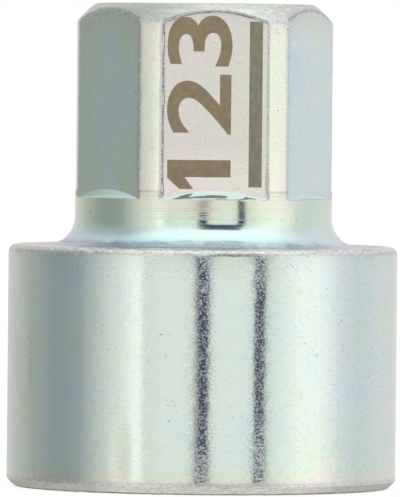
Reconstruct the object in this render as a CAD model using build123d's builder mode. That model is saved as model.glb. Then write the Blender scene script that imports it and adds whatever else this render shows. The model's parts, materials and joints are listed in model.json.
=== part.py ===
from build123d import *
import os

# A locking wheel nut key: one turned steel piece with a hexagon for the wheel brace at the top
# and a coded socket for the locking nut underneath. Millimetres, +Z up. Z = 0 is the socket's
# rim, the Z axis is the turning axis, and the front flat of the hexagon faces -Y.

# Body round the socket
body_diameter = 28.0
body_height = 17.45
body_edge_radius = 0.6
base_chamfer = 0.6

# Head for the wheel brace, measured up from the top face of the body. The hexagon is for a 17 mm
# brace, less the clearance that such a hexagon is made with.
hex_across_flats = 16.75
hex_sides = 6
head_diameter = 18.4
head_height = 17.4
head_chamfer = 1.3

# Turned neck below the head. The flats run out on a conical shoulder at its top, and between
# the flats it reaches a little higher, up to a small step.
neck_diameter = 18.5
neck_height = 3.4
neck_fillet = 2.0
shoulder_rise = 0.62
neck_step_rise = 0.5

# Coded socket for the nut
bore_diameter = 20.5
bore_depth = 11.0
groove_radius = 1.1
groove_places = 10
groove_code = (0, 1, 3, 4, 6, 8)
lead_in_margin = 0.15

# Extra length on a cutting tool, so that it runs out past the face it leaves through
tool_run_out = 1.0

# Radii and heights worked out from the sizes above
body_radius = body_diameter / 2
head_radius = head_diameter / 2
neck_radius = neck_diameter / 2
flat_radius = hex_across_flats / 2
flat_depth = neck_radius - flat_radius
flats_end = body_height + neck_height
overall_height = body_height + head_height
bore_radius = bore_diameter / 2
groove_pitch = 360 / groove_places
lead_in_depth = groove_radius + lead_in_margin
mouth_radius = bore_radius + lead_in_depth

# Tool for the flats: everything outside the hexagon and above the conical shoulder
with BuildPart() as flat_cutter:
    with BuildSketch(Plane.XZ):
        with BuildLine():
            Polyline(
                (flat_radius - flat_depth, flats_end + 2 * shoulder_rise),
                (neck_radius + flat_depth, flats_end - shoulder_rise),
                (neck_radius + flat_depth, overall_height + tool_run_out),
                (flat_radius - flat_depth, overall_height + tool_run_out),
                close=True,
            )
        make_face()
    revolve(axis=Axis.Z)
    with BuildSketch(Plane.XY.offset(body_height)):
        RegularPolygon(flat_radius, hex_sides, major_radius=False)
    extrude(amount=head_height + 2 * tool_run_out, mode=Mode.SUBTRACT)

# Tool for the socket: the bore, a half-round groove at each place of the code, and a lead-in
# cone wide enough to take in the grooves, so that the rim is a plain ring
with BuildPart() as socket_cutter:
    with BuildSketch(Plane.XY):
        Circle(bore_radius)
        for place in groove_code:
            with PolarLocations(bore_radius, 1, start_angle=place * groove_pitch):
                Circle(groove_radius)
    extrude(amount=bore_depth)
    Cone(
        bottom_radius=mouth_radius,
        top_radius=mouth_radius - lead_in_depth,
        height=lead_in_depth,
        align=(Align.CENTER, Align.CENTER, Align.MIN),
    )

# The key, in the order it is made: turned blank, edges, flats, socket
with BuildPart() as wheel_nut_key:
    Cylinder(body_radius, body_height, align=(Align.CENTER, Align.CENTER, Align.MIN))
    with Locations((0, 0, body_height)):
        Cylinder(
            neck_radius,
            neck_height + neck_step_rise,
            align=(Align.CENTER, Align.CENTER, Align.MIN),
        )
        Cylinder(head_radius, head_height, align=(Align.CENTER, Align.CENTER, Align.MIN))

    # The step between body and head: the smaller circle is the neck root, the larger the rim
    step_edges = wheel_nut_key.edges().filter_by(GeomType.CIRCLE)
    step_edges = step_edges.filter_by_position(Axis.Z, body_height, body_height)
    step_edges = step_edges.sort_by(SortBy.RADIUS)
    fillet(step_edges[0], radius=neck_fillet)
    fillet(step_edges[-1], radius=body_edge_radius)

    chamfer(wheel_nut_key.faces().sort_by(Axis.Z)[-1].edges(), length=head_chamfer)
    chamfer(wheel_nut_key.faces().sort_by(Axis.Z)[0].edges(), length=base_chamfer)

    add(flat_cutter.part, mode=Mode.SUBTRACT)
    add(socket_cutter.part, mode=Mode.SUBTRACT)

wheel_nut_key.part.label = "wheel_nut_key"

os.makedirs("parts", exist_ok=True)
export_step(wheel_nut_key.part, "parts/wheel_nut_key.step")
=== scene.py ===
"""Looks for a locking wheel nut key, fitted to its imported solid.

The key is one piece of zinc plated steel. This file makes its plated and worn skin from the same sizes
as the solid, the number and the bar that a laser burned into its front flat, and a stage with a light
tent. It is laid out as an add-on: register() adds the panel, and main() builds everything in order.
"""

import json
import math
from functools import partial

import bpy
import numpy as np
from mathutils import Matrix, Vector, noise


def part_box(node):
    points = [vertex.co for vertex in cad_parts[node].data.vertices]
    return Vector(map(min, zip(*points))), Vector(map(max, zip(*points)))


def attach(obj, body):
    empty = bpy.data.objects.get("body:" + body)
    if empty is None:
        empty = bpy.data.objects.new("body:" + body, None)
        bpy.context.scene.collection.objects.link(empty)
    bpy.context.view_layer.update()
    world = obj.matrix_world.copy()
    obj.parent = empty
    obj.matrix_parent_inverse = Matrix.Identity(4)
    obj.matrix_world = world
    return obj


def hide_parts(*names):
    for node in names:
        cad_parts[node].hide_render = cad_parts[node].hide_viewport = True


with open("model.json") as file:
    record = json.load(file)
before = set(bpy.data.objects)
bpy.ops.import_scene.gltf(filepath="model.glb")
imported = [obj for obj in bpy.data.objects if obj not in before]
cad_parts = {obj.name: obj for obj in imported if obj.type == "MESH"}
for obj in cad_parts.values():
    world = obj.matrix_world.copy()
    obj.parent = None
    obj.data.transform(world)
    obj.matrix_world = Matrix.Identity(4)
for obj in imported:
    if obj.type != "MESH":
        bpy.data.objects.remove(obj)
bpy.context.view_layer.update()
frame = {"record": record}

bl_info = {
    "name": "Locking wheel nut key",
    "version": (1, 0, 0),
    "blender": (4, 5, 0),
    "location": "3D View > Sidebar > Wheel nut key",
    "description": "Builds the plated skin, the burned mark and the stage of a locking wheel nut key",
    "category": "Object",
}

# Metres in a millimetre, for sizes that are written in millimetres
MM = 0.001

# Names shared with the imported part
KEY_NODE = "wheel_nut_key"
KEY_BODY = "root"

# The solid's box and bore, which the skin's defaults come from
KEY_LOW, KEY_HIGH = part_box(KEY_NODE)
MOUNTS = {mount["name"]: mount for mount in frame["record"]["mounts"]}
BORE = MOUNTS["socket_bore"]["dims"]

# The socket's groove code: places round the bore that have a groove
GROOVE_PLACES = 10
GROOVE_CODE = (0, 1, 3, 4, 6, 8)

# How finely the skin is divided round the key
HEX_SIDES = 6
FLAT_COLUMNS = 64
LAND_COLUMNS = 16
SIDE_COLUMNS = FLAT_COLUMNS + LAND_COLUMNS
GROOVE_COLUMNS = 16
COLUMNS = HEX_SIDES * SIDE_COLUMNS
# How much the columns of a flat close up towards its edges, from 0 to 1
FLAT_CLOSING = 0.6
# Angle round the key of the front flat's middle, at -Y
FRONT_TURN = 1.5 * math.pi


def length(name, description, millimetres):
    """A size property, written in millimetres and kept in metres."""
    return bpy.props.FloatProperty(
        name=name, description=description, default=millimetres * MM, unit="LENGTH", precision=5
    )


def angle(name, description, degrees):
    """An angle property, written in degrees."""
    return bpy.props.FloatProperty(
        name=name, description=description, default=math.radians(degrees), subtype="ANGLE"
    )


def linear(hex_colour):
    """Linear red, green, blue and alpha of an sRGB hex colour."""
    shares = [int(hex_colour[i:i + 2], 16) / 255 for i in (1, 3, 5)]
    return [s / 12.92 if s <= 0.04045 else ((s + 0.055) / 1.055) ** 2.4 for s in shares] + [1.0]


def colour(name, description, hex_colour):
    """A colour property, written as an sRGB hex value."""
    return bpy.props.FloatVectorProperty(
        name=name, description=description, default=linear(hex_colour),
        size=4, subtype="COLOR", min=0, max=1,
    )


class KeySizes(bpy.types.PropertyGroup):
    """Sizes of the key, the same as the solid's."""

    body_diameter: length("Body diameter", "Across the plain round body", (KEY_HIGH.x - KEY_LOW.x) / MM)
    body_height: length("Body height", "From the rim to the body's top face", 17.45)
    overall_height: length("Overall height", "From the rim to the top", (KEY_HIGH.z - KEY_LOW.z) / MM)
    body_edge_radius: length("Body edge", "Radius of the body's top edge", 0.6)
    base_chamfer: length("Base chamfer", "Chamfer round the rim", 0.6)
    hex_across_flats: length("Across flats", "Size of the hexagon, for a 17 mm brace", 16.75)
    head_diameter: length("Head diameter", "Across the round lands between the flats", 18.4)
    head_chamfer: length("Head chamfer", "Turned chamfer at the top", 1.3)
    neck_diameter: length("Neck diameter", "Across the turned neck", 18.5)
    neck_height: length("Neck height", "From the body's top face to the flats", 3.4)
    neck_fillet: length("Neck fillet", "Radius between neck and body", 2.0)
    neck_step_rise: length("Neck step", "How far the neck reaches up between the flats", 0.5)
    shoulder_rise: length("Shoulder rise", "Height of the cone at the foot of the flats", 0.62)
    bore_radius: length("Bore radius", "Radius of the socket's plain wall", BORE["r_mm"])
    bore_wall: length("Bore wall", "Length of the socket's plain wall", BORE["length_mm"])
    lead_in: length("Lead-in", "Depth and width of the cone at the socket's mouth", 1.25)
    groove_radius: length("Groove radius", "Radius of the half-round grooves", 1.1)


class MarkSizes(bpy.types.PropertyGroup):
    """Sizes of the number and the bar on the front flat."""

    number: bpy.props.StringProperty(
        name="Number", description="Plain number burned into the front flat", default="123"
    )
    number_height: length("Number height", "Height of the digits, across the flat", 4.64)
    number_length: length("Number length", "From the first digit to the last, up the flat", 11.5)
    number_foot: length("Number foot", "Height of the first digit's start above the rim", 22.45)
    flag_length: length("Flag length", "How far the flag of the figure one reaches down the flat", 0.85)
    number_side: length("Number side", "From the flat's middle to the digits' lower edge", 1.22)
    bar_width: length("Bar width", "Width of the bar", 0.94)
    bar_length: length("Bar length", "Length of the bar, up the flat", 11.8)
    bar_foot: length("Bar foot", "Height of the bar's lower end above the rim", 21.75)
    bar_side: length("Bar side", "From the flat's middle to the middle of the bar", 2.92)
    burn_depth: length("Burn thickness", "Thickness of the burned oxide", 0.012)


class Finish(bpy.types.PropertyGroup):
    """Colours of the passivated plate, from its thinnest film to its thickest, and of the burned mark."""

    # The lavender is darker than the plate under any other film; at the fillet's foot it is painted shade
    lavender_film_and_foot_shade: colour("Lavender film", "Plate under the thinnest film", "#b1b7cb")
    blue_film: colour("Blue film", "Plate under a thin film", "#d8e9f4")
    cyan_film: colour("Cyan film", "Plate under a film thinner than usual", "#def4f2")
    mint_film: colour("Mint film", "Plate under a film of usual thickness", "#e8f5ec")
    green_film: colour("Green film", "Plate under a film thicker than usual", "#e3f5de")
    straw_film: colour("Straw film", "Plate under a thick film", "#eff2dc")
    pink_film: colour("Pink film", "Plate under the thickest film", "#f6eae4")
    scuff: colour("Scuff", "Plate rubbed dull along the edges", "#eeeee9")
    burnish: colour("Burnish", "Knocked edges polished bright", "#fcfbf6")
    dark_scuff: colour("Dark scuff", "Fine rubs, and plate rubbed through to grey steel", "#bfbcb4")
    haze: colour("Haze", "Pale specks of the crystal grain", "#faf6ff")
    # The pit colour is also the painted shade in creases and corners
    pit: colour("Pit", "Dirt in the small pits of the plate", "#7c7e76")
    burn: colour("Burn", "Brown oxide of the digits", "#9a8668")
    bar_burn: colour("Bar burn", "Grey-brown oxide of the bar", "#918a76")


class Stage(bpy.types.PropertyGroup):
    """Camera and floor."""

    azimuth: angle("Azimuth", "Camera's turn round the key from the front flat", -5.1)
    distance: length("Distance", "Camera's level distance from the key's axis", 715.0)
    eye_height: length("Eye height", "Camera's height above the floor", 31.6)
    aim_height: length("Aim height", "Height on the axis that the camera looks at", 17.21)
    aim_side: length("Aim side", "How far right of the axis the camera looks", -0.22)
    roll: angle("Roll", "Camera's roll, which leans the key to the right", 0.55)
    lens: bpy.props.FloatProperty(
        name="Lens", description="Focal length on the camera's 36 mm long side",
        default=719.5, unit="CAMERA",
    )
    floor_size: length("Floor size", "Side of the square floor", 4000.0)


def shares(count, closing=1.0):
    """Shares from 0 to 1, without the 0, that close up towards both ends."""
    even = np.linspace(0, 1, count + 1)[1:]
    return even + closing * (0.5 - 0.5 * np.cos(math.pi * even) - even)


def outer_columns(sizes):
    """Angles of the columns round the key, with a column on each edge between a flat and a land."""
    half_side = math.pi / HEX_SIDES
    half_flat = math.acos(sizes.hex_across_flats / sizes.head_diameter)
    lead = np.linspace(0, half_side - half_flat, LAND_COLUMNS // 2, endpoint=False)
    across = np.append(0, shares(FLAT_COLUMNS, FLAT_CLOSING)[:-1]) * 2 - 1
    flat = half_side + np.arctan(across * math.tan(half_flat))
    trail = np.linspace(half_side + half_flat, 2 * half_side, LAND_COLUMNS // 2, endpoint=False)
    side = np.concatenate([lead, flat, trail])
    return np.concatenate([side + 2 * half_side * k for k in range(HEX_SIDES)])


def socket_columns(sizes):
    """Angle and radius of the socket's wall in each column, with a half-round groove at each place."""
    wall = sizes.bore_radius
    groove = sizes.groove_radius
    pitch = 2 * math.pi / GROOVE_PLACES
    half_mouth = 2 * math.asin(groove / (2 * wall))
    arc_end = math.pi - math.acos(groove / (2 * wall))
    arc = np.linspace(-arc_end, arc_end, GROOVE_COLUMNS, endpoint=False)
    across = groove * np.sin(arc)
    out = wall + groove * np.cos(arc)
    angles = []
    radii = []
    for place, following in zip(GROOVE_CODE, GROOVE_CODE[1:] + (GROOVE_CODE[0] + GROOVE_PLACES,)):
        angles.append(place * pitch + np.arctan2(across, out))
        radii.append(np.hypot(across, out))
        plain = (following - place) * COLUMNS // GROOVE_PLACES - GROOVE_COLUMNS
        start = place * pitch + half_mouth
        angles.append(np.linspace(start, following * pitch - half_mouth, plain, endpoint=False))
        radii.append(np.full(plain, wall))
    angles = np.concatenate(angles)
    radii = np.concatenate(radii)
    # The first groove starts half a groove before angle 0, and column 0 lies at angle 0
    half_groove = GROOVE_COLUMNS // 2
    angles[:half_groove] += 2 * math.pi
    return np.roll(angles, -half_groove), np.roll(radii, -half_groove)


# How many rows each band of the skin has
SOCKET_WALL_ROWS = 9
LEAD_IN_ROWS = 5
RIM_ROWS = 6
BASE_ROWS = 8
WALL_ROWS = 40
TOP_EDGE_ROWS = 12
STEP_FACE_ROWS = 6
FILLET_ROWS = 24
NECK_ROWS = 10
SHOULDER_ROWS = 6
HEAD_ROWS = 56
CROWN_ROWS = 10
# Rows across the socket's floor and the top, by shares of their radius
FLOOR_SHARES = (0.04, 0.3, 0.6, 0.9, 0.985, 1.0)
TOP_SHARES = (0.995, 0.98, 0.9, 0.6, 0.3, 0.04)
# Rows in mm from the step on the lands: its foot, two in its dark line of painted shade, and clear of it
STEP_OFFSETS = (-0.02, 0.02, 0.09, 0.15)
# Least height in mm of the cone at the foot of the head
LEAST_RISE = 0.1

# How thick the passivation is on each part of the key, from 0, the thinnest, to 1
SOCKET_FILM = 0.55
RIM_FILM = 0.84
BODY_FILM = 0.51
# The fillet's foot and the body's top face take the darkest, lavender film, which paints shade into that
# crease
FILLET_FOOT_FILM_AND_SHADE = 0.02
NECK_FOOT_FILM = 0.67
NECK_TOP_FILM = 0.8
SHOULDER_FILM = 0.3
LAND_FILM = 0.77
CROWN_FILM = 0.84
# The same for the six flats, going round from between +X and +Y, and how strong their soft bands are
FLAT_FILM = (0.45, 0.55, 0.4, 0.55, 0.9, 0.42)
FLAT_BANDS = (0.7, -0.6, 1.0, 1.0, 0.0, -0.6)
# How dull the same flats are rubbed, and the six lands between them, going round from +X
FLAT_DULL = (0.2, 0.22, 0.2, 0.1, 0.3, 0.14)
LAND_DULL = (0.15, 0.2, 0.15, 0.2, 0.3, 0.25)
# How dull the two chamfers and the top are
CHAMFER_DULL = 0.62
TOP_DULL = 0.35
# How dull the upper ends of flats and lands are
HEAD_END_DULL = 0.46
# How much thicker the film is at the upper ends of all flats but the front one
HEAD_END_FILM = 0.22
# How coarse the crystals are on smooth turned parts and on the head, against 1 on the body's front
TURNED_GRAIN = 0.3
HEAD_GRAIN = 0.4
# How clear the lathe's lines are on level faces and the lead-in cone, the base chamfer and the crown
FACE_LINES = 0.6
BASE_LINES = 0.8
CROWN_LINES = 0.5
# Painted shade in sharp corners and at the foot of the cone below the flats, and which share of that cone
# and the base chamfer, and of the chamfer over the front flat, counts as a corner
CORNER_SHADE = 0.9
SHOULDER_SHADE = 0.75
CORNER_SHARE = 0.2
ARC_SHARE = 0.05

# The tables from here on give levels by place, and their degrees are to the right of the front
# Film by mm above the base chamfer, and up the fillet by shares of its turn
WALL_FILM = ((0.1, 0.88), (1.3, BODY_FILM))
FILLET_FILM = (
    (0.2, FILLET_FOOT_FILM_AND_SHADE), (0.4, 0.16), (0.55, 0.37), (0.75, 0.49), (0.9, 0.58), (1.0, NECK_FOOT_FILM),
)
# How much thicker it is round the fillet's foot, by degrees; thinner is darker there, a painted shade
# strongest on the left
FOOT_FILM_AND_SHADE = ((-180, 0.0), (-95, -0.08), (-40, -0.08), (0, 0.0), (15, 0.1), (95, 0.1), (180, 0.0))
# How much thinner it is on the neck, by degrees to either side
NECK_THINNING = ((32, 0.0), (50, 0.12))
# How much thicker it is in the soft bands up a flat, by shares of half the flat's width
BAND_FILM = ((-1.0, 0.06), (-0.6, 0.07), (0.12, -0.1), (0.63, 0.02), (1.0, 0.04))
# How coarse the crystals are on the body by degrees, and how that changes by mm above the rim
WALL_GRAIN = (
    (-180, 0.8), (-95, 2.0), (-80, 2.0), (-66, 1.3), (-48, 0.35), (-33, 0.9), (-22, 1.1), (-14, 1.0),
    (18, 1.0), (40, 0.7), (95, 0.7), (180, 0.8),
)
GRAIN_RISE = ((0.0, 1.25), (3.0, 1.1), (6.0, 0.9), (13.0, 0.9), (16.0, 1.15))
# How dull the body's wall is rubbed by degrees, by mm below its top and by mm above its foot
WALL_DULL = (
    (-180, 0.2), (-95, 0.36), (-85, 0.36), (-64, 0.26), (-58, 0.02), (-45, 0.02), (-38, 0.16),
    (-27, 0.16), (-22, 0.06), (14, 0.06), (20, 0.16), (80, 0.2), (180, 0.2),
)
WALL_TOP_DULL = ((0.0, 0.34), (2.2, 0.0))
WALL_FOOT_DULL = ((0.0, 0.42), (0.9, 0.0))
# How dull a flat is by mm from its edges, and how much of that the front keeps by mm above its foot
FLAT_EDGE_DULL = ((0.0, 0.38), (0.9, 0.0))
FRONT_HANDLING = ((0.6, 0.2), (3.4, 1.0))
# How far a flat or land counts as its upper end, by mm below the chamfer
HEAD_END = ((0.0, 1.0), (2.8, 0.0))
# Dark patches on the base chamfer, more of them towards its sides, by degrees to either side
BASE_SIDE_DARKENING = ((15, 0.0), (40, 0.57), (70, 0.63))
# Painted shade on the chamfer at the top by degrees, darker on the left
CROWN_LEFT_SHADE = (
    (-90, 0.0), (-60, 0.42), (-48, 0.42), (-38, 0.53), (-28, 0.55), (-12, 0.48), (-4, 0.36), (6, 0.0),
)
# Painted shade along the chamfer's foot over all flats but the front one, by shares of the chamfer's width
ARC_SHADE = ((0.0, 0.8), (0.5, 0.0))
# How clear the lathe's lines are up the fillet by shares of its turn, and round the neck by degrees
FILLET_LINES = ((0.3, 0.8), (0.7, 0.3))
NECK_LINES = (
    (-180, 0.3), (-60, 0.2), (-45, 0.3), (-34, 1.0), (-3, 1.0), (4, 0.25), (15, 0.25), (25, 1.0),
    (45, 0.8), (60, 0.3), (180, 0.3),
)

# Places where the body's wall is rubbed: degrees to the right of the front, height in mm, half width in
# degrees, half height in mm, how dull it is, how much thicker its film is and how much grime it holds
RUBBED_PLACES = (
    (-28.4, 2.4, 3.2, 2.6, 0.4, 0.14, 0.38),
    (-66.0, 9.0, 3.6, 6.5, 0.3, 0.15, 0.46),
    (34.0, 2.0, 5.0, 1.2, 0.1, 0.25, 0.0),
    (12.4, 2.4, 3.0, 4.6, 0.37, 0.0, 0.0),
    (-4.9, 1.4, 3.2, 2.0, 0.45, 0.0, 0.0),
    (12.4, 15.5, 3.0, 1.2, 0.36, 0.0, 0.0),
    (-4.9, 14.4, 3.0, 2.4, 0.27, 0.0, 0.0),
)
# A flat worn low on the wall: degrees to the right of the front, then in mm the height of its middle, half
# its height and its depth
WORN_FLAT_TURN = -29.0
WORN_FLAT_MIDDLE = 2.4
WORN_FLAT_HALF = 3.4
WORN_FLAT_DEPTH = 0.024
# Least cosine, which leaves the wall round away from that flat
LEAST_COSINE = 0.5

# Layers of values that the skin carries to its material
LAYERS = ("film", "turned", "grain", "dull", "grime_and_shade")


class Skin:
    """Rows of points from the middle of the socket's floor, over the rim and up to the middle of the top.

    Each point has a value in each layer, mostly from 0 to 1: how thick its film is, how clear the lathe's
    lines are, how coarse its crystals are, how dull its plate is rubbed, and how much grime and painted
    shade it holds.
    """

    def __init__(self, angles):
        self.angles = angles
        # Degrees to the right of the front
        self.from_front = np.degrees(np.arctan2(np.cos(angles), -np.sin(angles)))
        self.points = []
        self.layers = {name: [] for name in LAYERS}
        self.edges = {}

    def row(self, radius, height, film, turned=0.0, grain=1.0, dull=0.0, grime_and_shade=0.0, angles=None):
        """Adds one row."""
        angles = self.angles if angles is None else angles
        ring = np.ones(angles.shape)
        points = [radius * np.cos(angles), radius * np.sin(angles), height * ring]
        self.points.append(np.stack(points, axis=1))
        for layer, value in zip(self.layers.values(), (film, turned, grain, dull, grime_and_shade)):
            layer.append(value * ring)

    def edge(self, name):
        """Names the last row as an edge."""
        self.edges[name] = len(self.points) - 1


def level_at(place, table):
    """Level at a place, between the places that a table gives."""
    return np.interp(place, *zip(*table))


def socket_rows(skin, sizes):
    """The socket's floor, wall and lead-in cone."""
    angles, wall = socket_columns(sizes)
    depth = sizes.lead_in + sizes.bore_wall
    mouth = sizes.bore_radius + sizes.lead_in
    wall_end = mouth - wall
    for share in FLOOR_SHARES:
        skin.row(wall * share, depth, SOCKET_FILM, FACE_LINES, angles=angles)
    for share in shares(SOCKET_WALL_ROWS):
        skin.row(wall, depth + (wall_end - depth) * share, SOCKET_FILM, angles=angles)
    for share in shares(LEAD_IN_ROWS):
        turn = angles + (skin.angles - angles) * share
        radius = wall + (mouth - wall) * share
        skin.row(radius, wall_end * (1 - share), SOCKET_FILM, FACE_LINES, angles=turn)
    skin.edge("mouth")


def body_rows(skin, sizes):
    """The rim, the base chamfer, the body's wall and its rounded top edge."""
    body = sizes.body_diameter / 2
    mouth = sizes.bore_radius + sizes.lead_in
    rim = body - sizes.base_chamfer
    wall_top = sizes.body_height - sizes.body_edge_radius
    from_front = skin.from_front
    grain = level_at(from_front, WALL_GRAIN)
    wall_dull = level_at(from_front, WALL_DULL)
    base_side_darkening = level_at(np.abs(from_front), BASE_SIDE_DARKENING)
    for share in shares(RIM_ROWS):
        skin.row(mouth + (rim - mouth) * share, 0.0, RIM_FILM, FACE_LINES)
    skin.edge("rim")
    for share in shares(BASE_ROWS):
        radius = rim + (body - rim) * share
        # Painted shade along the base chamfer's lowest edge, and above it dark patches that grow towards
        # its sides
        grime_and_shade = CORNER_SHADE if share < CORNER_SHARE else base_side_darkening
        skin.row(radius, sizes.base_chamfer * share, RIM_FILM, BASE_LINES, 1.0, CHAMFER_DULL, grime_and_shade)
    skin.edge("base")
    to_flat = np.maximum(np.cos(np.radians(from_front - WORN_FLAT_TURN)), LEAST_COSINE)
    for share in shares(WALL_ROWS):
        height = sizes.base_chamfer + (wall_top - sizes.base_chamfer) * share
        above = (height - sizes.base_chamfer) / MM
        film = level_at(above, WALL_FILM)
        end_dull = level_at((wall_top - height) / MM, WALL_TOP_DULL) + level_at(above, WALL_FOOT_DULL)
        dull = np.maximum(end_dull, wall_dull)
        grime_and_shade = 0.0
        for turn, middle, half_width, half_height, dull_there, film_there, grime_there in RUBBED_PLACES:
            away = ((from_front - turn) / half_width) ** 2 + ((height / MM - middle) / half_height) ** 2
            dull = np.maximum(dull, dull_there * np.exp(-away))
            film = film + film_there * np.exp(-away)
            grime_and_shade = np.maximum(grime_and_shade, grime_there * np.exp(-away))
        coarse = grain * level_at(height / MM, GRAIN_RISE)
        off_middle = (height / MM - WORN_FLAT_MIDDLE) / WORN_FLAT_HALF
        worn_depth = WORN_FLAT_DEPTH * MM * max(0.0, 1 - off_middle ** 2)
        radius = np.minimum(body, (body - worn_depth) / to_flat)
        skin.row(radius, height, film, 0.0, coarse, dull, grime_and_shade)
    for turn in np.linspace(0, math.pi / 2, TOP_EDGE_ROWS + 1)[1:]:
        out = sizes.body_edge_radius * (math.cos(turn) - 1)
        skin.row(body + out, wall_top + sizes.body_edge_radius * math.sin(turn), BODY_FILM, 0.0, grain)
        if turn <= math.pi / 4:
            skin.edge("body_top")


def neck_rows(skin, sizes):
    """The body's top face, the fillet and the turned neck."""
    neck = sizes.neck_diameter / 2
    inner = sizes.body_diameter / 2 - sizes.body_edge_radius
    foot = neck + sizes.neck_fillet
    fillet_end = sizes.body_height + sizes.neck_fillet
    flats_end = sizes.body_height + sizes.neck_height
    from_front = skin.from_front
    # The body's top face takes the fillet foot's darkest film, a painted shade
    for share in shares(STEP_FACE_ROWS):
        radius = inner + (foot - inner) * share
        skin.row(radius, sizes.body_height, FILLET_FOOT_FILM_AND_SHADE, FACE_LINES, TURNED_GRAIN)
    # The film round the fillet's foot is darkest, a painted shade in the crease, and darker still on the
    # left
    foot_film_and_shade = level_at(from_front, FOOT_FILM_AND_SHADE)
    for share in np.linspace(0, 1, FILLET_ROWS + 1)[1:]:
        turn = share * math.pi / 2
        out = sizes.neck_fillet * (1 - math.sin(turn))
        up = sizes.neck_fillet * (1 - math.cos(turn))
        film = level_at(share, FILLET_FILM) + foot_film_and_shade * (1 - share)
        lines = level_at(share, FILLET_LINES)
        skin.row(neck + out, sizes.body_height + up, film, lines, TURNED_GRAIN)
    lines = level_at(from_front, NECK_LINES)
    thinning = level_at(np.abs(from_front), NECK_THINNING)
    for share in shares(NECK_ROWS):
        height = fillet_end + (flats_end - fillet_end) * share
        film = NECK_FOOT_FILM + (NECK_TOP_FILM - NECK_FOOT_FILM) * share - thinning
        skin.row(neck, height, film, lines, TURNED_GRAIN)
    skin.edge("shoulder")


def head_rows(skin, sizes):
    """The shoulder cone, the flats with the lands between them, the turned chamfer and the top."""
    neck = sizes.neck_diameter / 2
    head = sizes.head_diameter / 2
    flat = sizes.hex_across_flats / 2
    flats_end = sizes.body_height + sizes.neck_height
    crown = head - sizes.head_chamfer
    top = sizes.overall_height
    to_normal = np.mod(skin.angles, 2 * math.pi / HEX_SIDES) - math.pi / HEX_SIDES
    on_plane = flat / np.cos(to_normal)
    on_land = on_plane >= head
    side = np.minimum(on_plane, head)
    half_width = math.sqrt(head ** 2 - flat ** 2)
    across = flat * np.tan(to_normal) / half_width
    front = np.abs(skin.angles - FRONT_TURN) < math.pi / HEX_SIDES
    land = np.rint(skin.angles * HEX_SIDES / (2 * math.pi)).astype(int) % HEX_SIDES

    # Film and dullness of each flat and land
    bands = np.repeat(FLAT_BANDS, SIDE_COLUMNS) * level_at(across, BAND_FILM)
    film = np.where(on_land, LAND_FILM, np.repeat(FLAT_FILM, SIDE_COLUMNS) + bands)
    to_edge = (1 - np.abs(across)) * half_width / MM
    flat_dull = np.maximum(np.repeat(FLAT_DULL, SIDE_COLUMNS), level_at(to_edge, FLAT_EDGE_DULL))
    side_dull = np.where(on_land, np.take(LAND_DULL, land), flat_dull)

    # The cone climbs to each flat, and on the lands the neck goes on up to a small step
    slope = sizes.shoulder_rise / (neck - flat)
    rise = np.maximum((neck - side) * slope, LEAST_RISE * MM)
    below_step = np.minimum(on_plane, neck)
    cone_film = np.where(on_land, NECK_TOP_FILM, SHOULDER_FILM)
    for share in shares(SHOULDER_ROWS):
        radius = np.maximum(below_step, neck - rise * share / slope)
        # Painted shade in the crease at the foot of the cone below each flat
        grime_and_shade = np.where(on_land, 0.0, SHOULDER_SHADE if share < CORNER_SHARE else 0.0)
        skin.row(radius, flats_end + rise * share, cone_film, 1.0 * on_land, TURNED_GRAIN, 0.0, grime_and_shade)
    skin.edge("flat_foot")

    # The flats and lands, with extra rows at the step
    chamfer_foot = top - (side - crown)
    start = flats_end + rise
    step = flats_end + sizes.neck_step_rise
    land_start = flats_end + LEAST_RISE * MM
    land_length = top - sizes.head_chamfer - land_start
    step_rows = [(step + offset * MM - land_start) / land_length for offset in STEP_OFFSETS]
    for share in sorted([*shares(HEAD_ROWS), *step_rows]):
        height = start + (chamfer_foot - start) * share
        below = height < step
        radius = np.where(below, below_step, side)
        lines = np.where(on_land & below, 1.0, 0.0)
        # Painted shade in a dark line just above the step on the lands
        grime_and_shade = np.where(on_land, CORNER_SHADE if share in step_rows[1:3] else 0.0, 0.0)
        end = level_at((chamfer_foot - height) / MM, HEAD_END)
        handled = np.where(front, level_at((height - start) / MM, FRONT_HANDLING), 1.0)
        dull = np.maximum(side_dull * handled, HEAD_END_DULL * end)
        thicker = np.where(on_land | front, 0.0, HEAD_END_FILM * end)
        skin.row(radius, height, film + thicker, lines, HEAD_GRAIN, dull, grime_and_shade)
    skin.edge("chamfer_foot")

    # The chamfer and the top
    # Painted shade on the top chamfer, darker on the left, and along its foot over the flats
    crown_left_shade = level_at(skin.from_front, CROWN_LEFT_SHADE)
    for share in shares(CROWN_ROWS):
        radius = side + (crown - side) * share
        height = chamfer_foot + (top - chamfer_foot) * share
        arc = np.where(front, CORNER_SHADE * (share < ARC_SHARE), level_at(share, ARC_SHADE))
        grime_and_shade = np.maximum(np.where(on_land, 0.0, arc), crown_left_shade)
        skin.row(radius, height, CROWN_FILM, CROWN_LINES, HEAD_GRAIN, CHAMFER_DULL, grime_and_shade)
    skin.edge("crown")
    for share in TOP_SHARES:
        skin.row(crown * share, top, CROWN_FILM, FACE_LINES, HEAD_GRAIN, TOP_DULL)


def surface_normals(points):
    """Outward normals of a grid of points that closes on itself round the key."""
    along = np.gradient(points, axis=0)
    around = np.roll(points, -1, axis=1) - np.roll(points, 1, axis=1)
    normals = np.cross(around, along)
    return normals / np.maximum(np.linalg.norm(normals, axis=2, keepdims=True), 1e-12)


def along_columns(points):
    """Distance of each point along its column from the first row."""
    gaps = np.linalg.norm(np.diff(points, axis=0), axis=2)
    return np.concatenate([np.zeros((1, points.shape[1])), np.cumsum(gaps, axis=0)])


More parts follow.
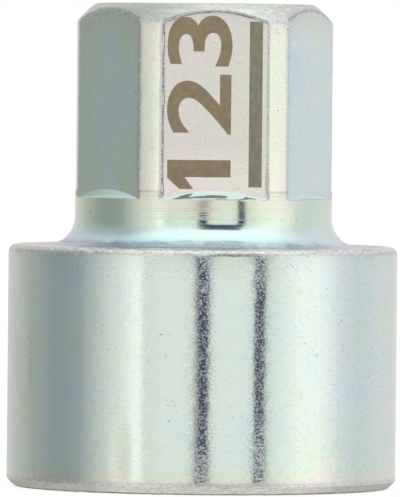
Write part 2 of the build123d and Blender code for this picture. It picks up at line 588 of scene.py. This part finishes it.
# Wear along each turned edge: how far it is rounded, how deep its knocks go and how wide both reach, in
# mm, then how dull its plate is rubbed, from 0 to 1, and how wide that reaches, in mm
EDGE_WEAR = {
    "mouth": (0.02, 0.03, 0.12, 0.8, 0.30),
    "rim": (0.05, 0.05, 0.16, 1.0, 0.60),
    "base": (0.03, 0.035, 0.16, 0.9, 0.30),
    "body_top": (0.0, 0.07, 0.30, 1.0, 0.42),
    "shoulder": (0.02, 0.02, 0.07, 0.2, 0.08),
    "chamfer_foot": (0.045, 0.03, 0.16, 0.85, 0.22),
    "crown": (0.08, 0.05, 0.25, 0.8, 0.4),
}
# The same for the upright edges between the flats and the lands
FLAT_EDGE_WEAR = (0.014, 0.03, 0.12, 0.6, 0.2)
# Knocks along an edge: their length in mm, how many times finer and how deep small ones are, the level of
# noise that leaves the edge free of them, and how fast they deepen above it
KNOCK_LENGTH = 1.1
SMALL_KNOCK = 2.7
SMALL_KNOCK_DEPTH = 0.5
KNOCK_FREE = 0.1
KNOCK_GAIN = 1.6


def knocks(points):
    """How deep the knocks are at each point, from 0 to 1."""
    depths = np.zeros(points.shape[:2])
    for place in np.ndindex(depths.shape):
        spot = Vector(points[place]) / (KNOCK_LENGTH * MM)
        depths[place] = noise.noise(spot) + SMALL_KNOCK_DEPTH * noise.noise(spot * SMALL_KNOCK)
    return np.clip((depths - KNOCK_FREE) * KNOCK_GAIN, 0, 1)


def worn(skin):
    """The points after wear, and how dull each one is rubbed."""
    points = np.array(skin.points)
    shape = points.shape[:2]
    travel = along_columns(points)
    rounding = np.zeros(shape)
    knocking = np.zeros(shape)
    dull = np.array(skin.layers["dull"])
    gaps = [(wear, slice(None), travel - travel[skin.edges[name]]) for name, wear in EDGE_WEAR.items()]
    upright = slice(skin.edges["flat_foot"], skin.edges["chamfer_foot"] + 1)
    for k in range(HEX_SIDES):
        for column in (LAND_COLUMNS // 2, LAND_COLUMNS // 2 + FLAT_COLUMNS):
            edge = points[upright, k * SIDE_COLUMNS + column, None, :2]
            gaps.append((FLAT_EDGE_WEAR, upright, np.linalg.norm(points[upright, :, :2] - edge, axis=2)))
    for (soft, knock, width, rubbed, rubbed_width), rows, gap in gaps:
        reach = np.exp(-(gap / (width * MM)) ** 2)
        rounding[rows] = np.maximum(rounding[rows], soft * MM * reach)
        knocking[rows] = np.maximum(knocking[rows], knock * MM * reach)
        dull[rows] = np.maximum(dull[rows], rubbed * np.exp(-(gap / (rubbed_width * MM)) ** 2))
    inward = rounding + knocking * knocks(points)
    return points - surface_normals(points) * inward[:, :, None], dull


def closed_mesh(name, points, floor_middle, top_middle):
    """A closed mesh from rows of points that go round the key, with a middle point at each end."""
    rows, columns, _ = points.shape
    vertices = points.reshape(-1, 3).tolist() + [floor_middle, top_middle]
    first = rows * columns
    last = first + 1
    faces = []
    for j in range(columns):
        k = (j + 1) % columns
        faces.append((first, k, j))
        for i in range(rows - 1):
            start = i * columns
            faces.append((start + j, start + k, start + columns + k, start + columns + j))
        faces.append((first - columns + j, first - columns + k, last))
    mesh = bpy.data.meshes.new(name)
    mesh.from_pydata(vertices, [], faces)
    mesh.shade_smooth()
    mesh.update()
    return mesh


def add_piece(name, mesh, material):
    """Puts a mesh in the scene as a piece of the key."""
    mesh.materials.append(material)
    piece = bpy.data.objects.new(name, mesh)
    bpy.context.scene.collection.objects.link(piece)
    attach(piece, KEY_BODY)
    return piece


# Kinds of node that come up often, and the colour inputs of the Mix node
MATH = "ShaderNodeMath"
RANGE = "ShaderNodeMapRange"
NOISE = "ShaderNodeTexNoise"
MIX = "ShaderNodeMix"
MIX_A = 6
MIX_B = 7


def add_node(tree, kind, inputs=None, out=None, stops=(), **settings):
    """Adds a shader node and gives back one of its outputs, the first in use unless out names another.

    settings are the node's own, inputs gives each socket a value or a link, and stops fill its ramp.
    """
    node = tree.nodes.new(kind)
    for name, value in settings.items():
        setattr(node, name, value)
    for socket, value in (inputs or {}).items():
        if isinstance(value, bpy.types.NodeSocket):
            tree.links.new(value, node.inputs[socket])
        else:
            node.inputs[socket].default_value = value
    for index, (position, shade) in enumerate(stops):
        elements = node.color_ramp.elements
        element = elements[index] if index < 2 else elements.new(position)
        element.position = position
        element.color = shade
    if out:
        return node.outputs[out]
    return next((output for output in node.outputs if output.enabled), None)


def new_nodes(owner):
    """Empties the nodes of a material or a world, and gives back add_node for them."""
    owner.use_nodes = True
    owner.node_tree.nodes.clear()
    return partial(add_node, owner.node_tree)


def surface_point(add):
    """The surface point in millimetres."""
    place = add("ShaderNodeTexCoord", out="Object")
    return add("ShaderNodeVectorMath", {0: place, "Scale": 1 / MM}, operation="SCALE")


# Noise in the plate: its size in mm, its detail and its roughness
PLATE_NOISE = {
    "crystal": (0.14, 1.0, 0.5),
    "patch": (4.5, 2.0, 0.6),
    "mottle": (1.0, 3.0, 0.6),
    "rub": (0.36, 4.0, 0.7),
    "spot": (0.24, 2.0, 0.6),
    "cluster": (3.0, 1.0, 0.5),
    "ripple": (1.4, 1.0, 0.5),
    "lathe": (0.15, 1.0, 0.5),
}
# How much the patches and the finer mottle change the film's thickness
PATCH_LEVEL = 0.55
MOTTLE_LEVEL = 0.36
# How much finer rubs are up the key than round it, and how much they break up what is rubbed dull
RUB_STRETCH = 3
RUB_LEVEL = 1.3
# How much pits gather in clusters, and how much grime and painted shade fill a crease
CLUSTER_LEVEL = 0.35
GRIME_AND_SHADE_LEVEL = 0.9
# How many times closer the lathe's lines lie across a level face than up the neck
FACE_FEED = 1.7
# How much rougher scuffs and the lathe's lines are
SCUFF_ROUGHNESS = 0.22
LINE_ROUGHNESS = 0.32


def zinc_plate(finish):
    """Bright zinc plate on turned steel with a clear passivation.

    The plate is a pale metal. Its fine crystal grain breaks up the edges of reflections, and small pits
    hold dirt. The passivation is a film so thin that its colour changes with its thickness, from lavender
    through blue, cyan, mint, green and straw to pink. The lathe's lines show on the neck, edges are rubbed
    dull, and handling has left fine dark rubs. Creases and corners get painted shade in the pits' dark
    colour.
    """
    material = bpy.data.materials.new("zinc_plate_on_turned_steel")
    add = new_nodes(material)
    point = surface_point(add)
    film, turned, coarse, dull, grime_and_shade = [
        add("ShaderNodeAttribute", out="Fac", attribute_name=name) for name in LAYERS
    ]

    # Noise: rubs are drawn out round the key, and the lathe's lines follow its feed
    streaked = add("ShaderNodeVectorMath", {0: point, 1: (1, 1, RUB_STRETCH)}, operation="MULTIPLY")
    axes = add("ShaderNodeSeparateXYZ", {0: point}).node.outputs
    level = add("ShaderNodeCombineXYZ", {"X": axes["X"], "Y": axes["Y"]})
    radius = add("ShaderNodeVectorMath", {0: level}, operation="LENGTH")
    feed = add(MATH, {0: radius, 1: FACE_FEED, 2: axes["Z"]}, operation="MULTIPLY_ADD")
    places = {"rub": {"Vector": streaked}, "lathe": {"W": feed}}
    dimensions = {"patch": "4D", "lathe": "1D"}
    fields = {}
    for name, (size, detail, roughness) in PLATE_NOISE.items():
        inputs = {"Scale": 1 / size, "Detail": detail, "Roughness": roughness}
        inputs.update(places.get(name, {"Vector": point}))
        fields[name] = add(NOISE, inputs, noise_dimensions=dimensions.get(name, "3D"))
    rubs = fields["rub"]

    # Crystal grain: raised specks, paler and a little rougher than the plate between them
    crystals = add(
        RANGE, {"Value": fields["crystal"], "From Min": 0.42, "From Max": 0.66},
        interpolation_type="SMOOTHSTEP",
    )
    bumps = add(MATH, {0: crystals, 1: coarse}, operation="MULTIPLY")

    # Colour of the film, whose thickness varies about the layer's value
    thickness = film
    for name, share in (("patch", PATCH_LEVEL), ("mottle", MOTTLE_LEVEL)):
        thickness = add(MATH, {0: fields[name], 1: share, 2: thickness}, operation="MULTIPLY_ADD")
    middle = (PATCH_LEVEL + MOTTLE_LEVEL) / 2
    evened = add(RANGE, {"Value": thickness, "From Min": middle, "From Max": middle + 1})
    tint = add(
        "ShaderNodeValToRGB", {"Fac": evened},
        stops=(
            (0.05, finish.lavender_film_and_foot_shade), (0.92, finish.pink_film), (0.20, finish.blue_film),
            (0.36, finish.cyan_film), (0.52, finish.mint_film), (0.64, finish.green_film),
            (0.77, finish.straw_film),
        ),
    )
    haze = add(RANGE, {"Value": bumps, "To Max": 0.25})

    # Fine dark rubs wherever the plate is handled
    handled = add(RANGE, {"Value": dull, "From Max": 0.2, "To Max": 0.55})
    dark_rubs = add(RANGE, {"Value": rubs, "From Min": 0.49, "From Max": 0.29, "To Max": handled})

    # Scuffs where it is dull: pale, bright where knocked, and grey where rubbed through
    rubbed = add(MATH, {0: rubs, 1: RUB_LEVEL, 2: dull}, operation="MULTIPLY_ADD")
    scuff = add(RANGE, {"Value": rubbed, "From Min": 0.85, "From Max": 1.25})
    knocked = add(RANGE, {"Value": dull, "From Min": 0.65, "From Max": 0.95})
    rubbed_through = add(RANGE, {"Value": rubs, "From Min": 0.60, "From Max": 0.30})
    scuff_tone = finish.scuff
    for share, tone in ((knocked, finish.burnish), (rubbed_through, finish.dark_scuff)):
        scuff_tone = add(MIX, {0: share, MIX_A: scuff_tone, MIX_B: tone}, data_type="RGBA")

    # Dirt in clustered pits and grime on rubbed places, and painted shade in creases and corners
    clustered = add(
        MATH, {0: fields["cluster"], 1: CLUSTER_LEVEL, 2: fields["spot"]}, operation="MULTIPLY_ADD"
    )
    pit = add(RANGE, {"Value": clustered, "From Min": 0.91, "From Max": 1.0})
    grime_and_shade_amount = add(MATH, {0: grime_and_shade, 1: GRIME_AND_SHADE_LEVEL, 2: rubs}, operation="MULTIPLY_ADD")
    crease_shade_and_grime = add(RANGE, {"Value": grime_and_shade_amount, "From Min": 0.85, "From Max": 1.35})
    dirt_and_shade = add(MATH, {0: pit, 1: crease_shade_and_grime}, operation="MAXIMUM")

    # All of these over the film's colour
    shade = tint
    for share, tone in (
        (haze, finish.haze), (dark_rubs, finish.dark_scuff), (scuff, scuff_tone), (dirt_and_shade, finish.pit),
    ):
        shade = add(MIX, {0: share, MIX_A: shade, MIX_B: tone}, data_type="RGBA")

    # Roughness: smooth plate, rougher on specks, scuffs and the lathe's lines
    ridges = add(RANGE, {"Value": fields["lathe"], "From Min": 0.3, "From Max": 0.7})
    lines = add(MATH, {0: ridges, 1: turned}, operation="MULTIPLY")
    rough = add(RANGE, {"Value": bumps, "To Min": 0.08, "To Max": 0.20})
    for layer, share in ((scuff, SCUFF_ROUGHNESS), (lines, LINE_ROUGHNESS)):
        rough = add(MATH, {0: layer, 1: share, 2: rough}, operation="MULTIPLY_ADD")

    # Height of the surface in millimetres, added up from its layers
    knocks_rubbed = add(MATH, {0: rubs, 1: knocked}, operation="MULTIPLY")
    height = 0.0
    for layer, depth in (
        (bumps, 0.00075), (fields["ripple"], 0.010), (lines, 0.003), (knocks_rubbed, 0.05), (pit, -0.015),
    ):
        height = add(MATH, {0: layer, 1: depth, 2: height}, operation="MULTIPLY_ADD")
    bump = add("ShaderNodeBump", {"Distance": MM, "Height": height})
    plate = {"Base Color": shade, "Metallic": 1.0, "Roughness": rough, "Normal": bump}
    shader = add("ShaderNodeBsdfPrincipled", plate)
    add("ShaderNodeOutputMaterial", {"Surface": shader})
    return material


def laser_oxide(name, shade):
    """Oxide that a laser burned into the plate: matt and brown, with faint lines of the beam's passes."""
    material = bpy.data.materials.new(name)
    add = new_nodes(material)
    point = surface_point(add)
    pass_pitch = 0.15
    mottle_size = 0.5
    line_level = 0.25
    # The Wave node's bands repeat every 0.314 of its scaled length
    band_repeat = 0.314
    lines = add(
        "ShaderNodeTexWave",
        {"Vector": point, "Scale": band_repeat / pass_pitch, "Distortion": 1.0, "Detail": 2.0},
        out="Fac", bands_direction="Z",
    )
    mottle = add(NOISE, {"Vector": point, "Scale": 1 / mottle_size, "Detail": 4.0, "Roughness": 0.6})
    mixed = add(MATH, {0: lines, 1: line_level, 2: mottle}, operation="MULTIPLY_ADD")
    value = add(RANGE, {"Value": mixed, "From Min": 0.3, "From Max": 0.95, "To Min": 0.76, "To Max": 1.24})
    toned = add("ShaderNodeHueSaturation", {"Value": value, "Color": shade})
    shader = add("ShaderNodeBsdfPrincipled", {"Base Color": toned, "Roughness": 0.6})
    add("ShaderNodeOutputMaterial", {"Surface": shader})
    return material


class KEY_OT_skin(bpy.types.Operator):
    """Build the key's plated skin in place of the plain solid"""

    bl_idname = "wheel_nut_key.skin"
    bl_label = "Plated skin"

    def execute(self, context):
        sizes = context.scene.key_sizes
        skin = Skin(outer_columns(sizes))
        for add_rows in (socket_rows, body_rows, neck_rows, head_rows):
            add_rows(skin, sizes)
        points, dull = worn(skin)
        floor_middle = (0.0, 0.0, sizes.lead_in + sizes.bore_wall)
        top_middle = (0.0, 0.0, sizes.overall_height)
        mesh = closed_mesh("key_skin", points, floor_middle, top_middle)
        for name, rows in {**skin.layers, "dull": dull}.items():
            layer = mesh.attributes.new(name, "FLOAT", "POINT")
            values = np.array(rows, dtype=np.float32)
            layer.data.foreach_set("value", np.append(values.ravel(), [values[0, 0], values[-1, 0]]))
        piece = add_piece("key_skin", mesh, zinc_plate(context.scene.key_finish))
        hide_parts(KEY_NODE)
        return {"FINISHED"}


# Drawing of the digits before it is stretched: its thickness, boldness and steps along a curve
DIGIT_THICKNESS = 0.5
DIGIT_BOLDNESS = 0.018
DIGIT_STEPS = 8
# Corners of the figure one's flag: at its tip, 0, or root, 1, and by shares of the digits' height
FLAG_CORNERS = ((0, 0.58), (1, 0.72), (1, 1.0), (0, 0.80))


def flat_frame(sizes):
    """Places a drawing on the front flat: its x runs up the flat, its y to the left and its z outwards."""
    turn = Matrix(((0, -1, 0), (0, 0, -1), (1, 0, 0))).to_4x4()
    return Matrix.Translation((0, -sizes.hex_across_flats / 2, 0)) @ turn


class KEY_OT_mark(bpy.types.Operator):
    """Build the number and the bar on the front flat"""

    bl_idname = "wheel_nut_key.mark"
    bl_label = "Burned mark"

    def execute(self, context):
        sizes = context.scene.key_sizes
        mark = context.scene.key_mark
        finish = context.scene.key_finish
        oxide = laser_oxide("laser_oxide_on_zinc", finish.burn)
        self.number(sizes, mark, oxide)
        self.flag(sizes, mark, oxide)
        self.bar(sizes, mark, laser_oxide("light_laser_oxide_on_zinc", finish.bar_burn))
        return {"FINISHED"}

    def number(self, sizes, mark, material):
        """The digits, drawn bold and stretched to the mark's length and height."""
        drawing = bpy.data.curves.new("mark_number", "FONT")
        drawing.body = mark.number
        drawing.extrude = DIGIT_THICKNESS
        drawing.offset = DIGIT_BOLDNESS
        drawing.resolution_u = DIGIT_STEPS
        text = bpy.data.objects.new("mark_number_drawing", drawing)
        bpy.context.scene.collection.objects.link(text)
        bpy.context.view_layer.update()
        mesh = bpy.data.meshes.new_from_object(text.evaluated_get(bpy.context.evaluated_depsgraph_get()))
        bpy.data.objects.remove(text)
        mesh.name = "mark_number"
        corners = np.array([v.co for v in mesh.vertices])
        low, high = corners.min(axis=0), corners.max(axis=0)
        want = Vector((mark.number_length, mark.number_height, mark.burn_depth))
        scale = Matrix.Diagonal([want[i] / (high[i] - low[i]) for i in range(3)]).to_4x4()
        shift = Matrix.Translation((mark.number_foot, -mark.number_side, 0))
        mesh.transform(flat_frame(sizes) @ shift @ scale @ Matrix.Translation(-Vector(low)))
        add_piece("mark_number", mesh, material)

    def flag(self, sizes, mark, material):
        """The flag of the figure one, which the font draws as a plain stroke."""
        ends = (mark.number_foot - mark.flag_length, mark.number_foot)
        outline = [(ends[end], up * mark.number_height - mark.number_side) for end, up in FLAG_CORNERS]
        self.slab("mark_flag", outline, sizes, mark, material)

    def bar(self, sizes, mark, material):
        """The bar beside the digits."""
        low, high = [-mark.bar_side + side * mark.bar_width / 2 for side in (-1, 1)]
        start, end = mark.bar_foot, mark.bar_foot + mark.bar_length
        outline = [(start, low), (end, low), (end, high), (start, high)]
        self.slab("mark_bar", outline, sizes, mark, material)

    def slab(self, name, outline, sizes, mark, material):
        """A closed slab of oxide with four corners, given in the flat's frame."""
        corners = [(x, y, z) for z in (0.0, mark.burn_depth) for x, y in outline]
        sides = [(i, (i + 1) % 4, (i + 1) % 4 + 4, i + 4) for i in range(4)]
        mesh = bpy.data.meshes.new(name)
        mesh.from_pydata(corners, [], [(3, 2, 1, 0), (4, 5, 6, 7)] + sides)
        mesh.transform(flat_frame(sizes))
        add_piece(name, mesh, material)


# The tent's wall round the compass, in degrees from the lens, positive to the right
TENT_WALL = (
    # Paper behind the key on the left, fading into a shaded card
    (-180, "#e2dede"), (-147, "#c8c8c7"), (-130, "#b3b5b2"), (-114, "#9fa4a5"), (-100, "#90979c"),
    (-88, "#91989d"),
    # Lit paper on the left, up to its edge
    (-77, "#9aa0a6"), (-66, "#bec0c2"), (-54, "#dddddc"), (-48, "#e5e6e3"), (-44, "#f2f2ee"),
    (-41, "#ffffff"),
    # Front paper round the lens
    (-36, "#ffffff"), (-35, "#dbdcda"), (-24, "#e6e7e5"), (31, "#e6e9e7"),
    # Lit paper on the right, then a cool shaded stretch
    (37, "#dadfdb"), (46, "#e7ebe9"), (53, "#f4f6f4"), (60, "#fefefc"), (76, "#fbfbfd"),
    (90, "#dedfe8"), (104, "#cfd4db"), (120, "#d5d7de"), (131, "#dadadf"),
    # Paper behind the key on the right
    (150, "#dbd7d8"), (180, "#e2dede"),
)
# Level of the tent's white against the white that the camera sees behind the key
TENT_LEVEL = 1.06
WHITE = (1.0, 1.0, 1.0, 1.0)
# The lit panel beside the lens and the dark gap round it, in degrees: left edge and its softness, right
# edge and its softness, and upper edge
PANEL = (4.0, 1.0, 30.9, 0.8, 19.0)
PANEL_GAP = (-3.9, 2.2, 37.4, 0.8, 41.0)
UPPER_SOFTNESS = 0.5
GAP_SHADE = "#443f5e"
# Roof and floor of the tent: elevations in degrees between which the wall turns into each, and its shade
TENT_ENDS = ((4, 118, "#e8f2f3"), (-6, -50, "#e8e8e4"))
# The soft box above the lens: turn to the right, elevation, radius and softness in degrees, and its level
SOFT_BOX = (24.0, 70.0, 42.0, 14.0)
SOFT_BOX_LEVEL = (0.99, 1.07, 1.07, 1.0)
# Paper of the floor, and the glow and its share that the camera sees on it
FLOOR_PAPER = (0.9, 0.9, 0.9, 1.0)
FLOOR_GLOW = 1.1
FLOOR_GLOW_SHARE = 0.8


def compass_share(degrees):
    """Share of the way round the compass from straight behind the key, for degrees from the lens."""
    return (degrees + 180) / 360


def tent(world, azimuth):
    """Lights the key from a tent whose wall changes round the compass, and shows white to the camera."""
    add = new_nodes(world)
    direction = add("ShaderNodeTexCoord", out="Generated")
    axes = add("ShaderNodeSeparateXYZ", {0: direction}).node.outputs
    front = add(MATH, {0: axes["Y"], 1: -1.0}, operation="MULTIPLY")
    turn = add(MATH, {0: axes["X"], 1: front}, operation="ARCTAN2")
    compass = add(RANGE, {"Value": turn, "From Min": azimuth - math.pi, "From Max": azimuth + math.pi})
    rise = add(MATH, {0: axes["Z"]}, operation="ARCSINE")

    # Wall, roof and floor
    ends_first = TENT_WALL[:1] + TENT_WALL[-1:] + TENT_WALL[1:-1]
    shade = add(
        "ShaderNodeValToRGB", {"Fac": compass},
        stops=[(compass_share(degrees), linear(paper)) for degrees, paper in ends_first],
    )
    for start, end, paper in TENT_ENDS:
        share = add(
            RANGE, {"Value": rise, "From Min": math.radians(start), "From Max": math.radians(end)},
            interpolation_type="SMOOTHSTEP",
        )
        shade = add(MIX, {0: share, MIX_A: shade, MIX_B: linear(paper)}, data_type="RGBA")

    # The dark gap round the lit panel
    windows = []
    for left, left_soft, right, right_soft, upper in (PANEL, PANEL_GAP):
        edges = (
            (compass, compass_share(left - left_soft), compass_share(left + left_soft)),
            (compass, compass_share(right + right_soft), compass_share(right - right_soft)),
            (rise, math.radians(upper + UPPER_SOFTNESS), math.radians(upper - UPPER_SOFTNESS)),
        )
        window = 1.0
        for place, outside, inside in edges:
            within = add(RANGE, {"Value": place, "From Min": outside, "From Max": inside})
            window = add(MATH, {0: window, 1: within}, operation="MULTIPLY")
        windows.append(window)
    panel, panel_and_gap = windows
    gap = add(MATH, {0: panel_and_gap, 1: panel}, operation="SUBTRACT")
    shade = add(MIX, {0: gap, MIX_A: shade, MIX_B: linear(GAP_SHADE)}, data_type="RGBA")

    # The soft box
    box_turn, box_rise, box_radius, box_soft = [math.radians(degrees) for degrees in SOFT_BOX]
    box_side = math.cos(box_rise) * math.sin(azimuth + box_turn)
    box_front = math.cos(box_rise) * math.cos(azimuth + box_turn)
    box_middle = (box_side, -box_front, math.sin(box_rise))
    towards_box = add("ShaderNodeVectorMath", {0: direction, 1: box_middle}, operation="DOT_PRODUCT")
    box_ends = {"From Min": math.cos(box_radius + box_soft), "From Max": math.cos(box_radius - box_soft)}
    box = add(RANGE, {"Value": towards_box, **box_ends}, interpolation_type="SMOOTHSTEP")
    clear_of_gap = add(MATH, {0: box, 1: gap}, operation="SUBTRACT", use_clamp=True)
    shade = add(MIX, {0: clear_of_gap, MIX_A: shade, MIX_B: SOFT_BOX_LEVEL}, data_type="RGBA")

    # Plain white for the camera
    seen = add("ShaderNodeLightPath", out="Is Camera Ray")
    shown = add(MIX, {0: seen, MIX_A: shade, MIX_B: WHITE}, data_type="RGBA")
    level = add(RANGE, {"Value": seen, "To Min": TENT_LEVEL, "To Max": 1.0})
    background = add("ShaderNodeBackground", {"Color": shown, "Strength": level})
    add("ShaderNodeOutputWorld", {"Surface": background})


def floor_paper():
    """White paper that shows white to the camera and keeps a soft shadow under the key."""
    material = bpy.data.materials.new("white_paper")
    add = new_nodes(material)
    paper = add("ShaderNodeBsdfDiffuse", {"Color": FLOOR_PAPER})
    white = add("ShaderNodeEmission", {"Color": WHITE, "Strength": FLOOR_GLOW})
    glow = add("ShaderNodeMixShader", {0: FLOOR_GLOW_SHARE, 1: paper, 2: white})
    seen = add("ShaderNodeLightPath", out="Is Camera Ray")
    shown = add("ShaderNodeMixShader", {0: seen, 1: paper, 2: glow})
    add("ShaderNodeOutputMaterial", {"Surface": shown})
    return material


class KEY_OT_stage(bpy.types.Operator):
    """Build the floor, the light tent and the camera"""

    bl_idname = "wheel_nut_key.stage"
    bl_label = "Stage"

    def execute(self, context):
        stage = context.scene.key_stage
        half = stage.floor_size / 2
        mesh = bpy.data.meshes.new("floor")
        corners = [(-half, -half, 0), (half, -half, 0), (half, half, 0), (-half, half, 0)]
        mesh.from_pydata(corners, [], [(0, 1, 2, 3)])
        mesh.materials.append(floor_paper())
        floor = bpy.data.objects.new("floor", mesh)
        floor.visible_glossy = False
        context.scene.collection.objects.link(floor)

        world = bpy.data.worlds.new("light_tent")
        tent(world, stage.azimuth)
        context.scene.world = world

        lens = bpy.data.cameras.new("camera")
        lens.lens = stage.lens
        lens.clip_start = 0.01
        lens.clip_end = 20.0
        camera = bpy.data.objects.new("camera", lens)
        right = Vector((math.cos(stage.azimuth), math.sin(stage.azimuth), 0))
        back = Vector((math.sin(stage.azimuth), -math.cos(stage.azimuth), 0))
        eye = back * stage.distance + Vector((0, 0, stage.eye_height))
        aim = right * stage.aim_side + Vector((0, 0, stage.aim_height))
        look = (aim - eye).to_track_quat("-Z", "Y").to_matrix().to_4x4()
        camera.matrix_world = Matrix.Translation(eye) @ look @ Matrix.Rotation(stage.roll, 4, "Z")
        context.scene.collection.objects.link(camera)
        context.scene.camera = camera
        context.scene.view_settings.view_transform = "Standard"
        return {"FINISHED"}


class KEY_PT_panel(bpy.types.Panel):
    """Lists the steps that build the key and its stage"""

    bl_idname = "KEY_PT_panel"
    bl_label = "Wheel nut key"
    bl_space_type = "VIEW_3D"
    bl_region_type = "UI"
    bl_category = "Wheel nut key"

    def draw(self, context):
        for operator in (KEY_OT_skin, KEY_OT_mark, KEY_OT_stage):
            self.layout.operator(operator.bl_idname)


CLASSES = (KeySizes, MarkSizes, Finish, Stage, KEY_OT_skin, KEY_OT_mark, KEY_OT_stage, KEY_PT_panel)
SETTINGS = {"key_sizes": KeySizes, "key_mark": MarkSizes, "key_finish": Finish, "key_stage": Stage}


def register():
    """Adds the classes and the scene's settings."""
    for cls in CLASSES:
        bpy.utils.register_class(cls)
    for name, group in SETTINGS.items():
        setattr(bpy.types.Scene, name, bpy.props.PointerProperty(type=group))


def unregister():
    """Takes the settings and the classes away again."""
    for name in SETTINGS:
        delattr(bpy.types.Scene, name)
    for cls in reversed(CLASSES):
        bpy.utils.unregister_class(cls)


def main():
    """Builds the key and its stage."""
    register()
    bpy.ops.wheel_nut_key.skin()
    bpy.ops.wheel_nut_key.mark()
    bpy.ops.wheel_nut_key.stage()


if __name__ == "__main__":
    main()
